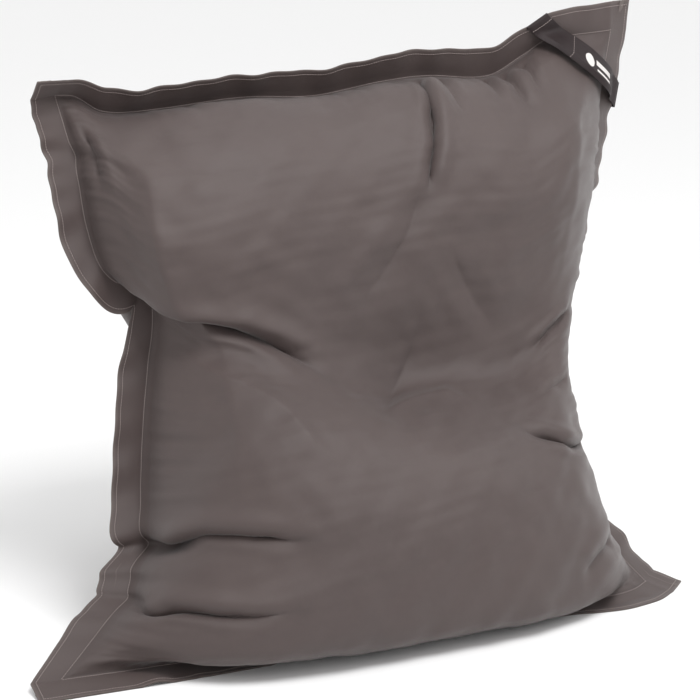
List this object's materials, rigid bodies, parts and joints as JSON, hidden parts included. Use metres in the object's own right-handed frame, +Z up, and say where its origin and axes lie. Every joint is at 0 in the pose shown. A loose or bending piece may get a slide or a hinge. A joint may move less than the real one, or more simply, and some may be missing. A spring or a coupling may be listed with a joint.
{
  "type": "pillow bean bag chair",
  "caption": "Large flat-cut pillow bean bag stood up as a lounge chair, with a wide double-stitched flat border, a black corner strap and a zip across the upper back.",
  "frame": {"origin": "middle of the bag's outline, on the floor it stands on", "axes": "+Z up, -Y towards the front where the sitter's legs go, +X to the right seen from the front"},
  "size_m": [1.4188, 0.8976, 1.0478],
  "materials": {
    "cover_cloth": "matte, slight sheen",
    "beads": "matte",
    "thread": "satin",
    "strap_satin": "satin",
    "zip_tape": "matte",
    "zip_coil": "satin",
    "zip_metal": "satin",
    "label_satin": "satin"
  },
  "bodies": {
    "bag": {"front_cover": "cover_cloth", "back_cover_lower": "cover_cloth", "back_cover_upper": "cover_cloth", "bead_fill": "beads", "seam_thread": "thread", "edge_thread": "thread", "label_strap": "strap_satin", "strap_tack_top": "thread", "strap_tack_side": "thread", "zip_tape_upper": "zip_tape", "zip_tape_lower": "zip_tape", "zip_coil_upper": "zip_coil", "zip_coil_lower": "zip_coil", "zip_stop_left": "zip_metal", "zip_stop_right": "zip_metal", "care_label": "label_satin"},
    "slider": {"zip_slider": "zip_metal"},
    "pull_tab": {"zip_pull_tab": "zip_metal"}
  },
  "joints": [
    {"name": "zip_slide", "type": "slide", "parent": "bag", "child": "slider", "axis": [-1, 0, 0], "range_m": [0, 0.615]},
    {"name": "pull_tab_hinge", "type": "hinge", "parent": "slider", "child": "pull_tab", "pos_m": [0.35837, 0.36191, 0.8], "axis": [0, 0, 1], "range_deg": [0, 170]}
  ]
}
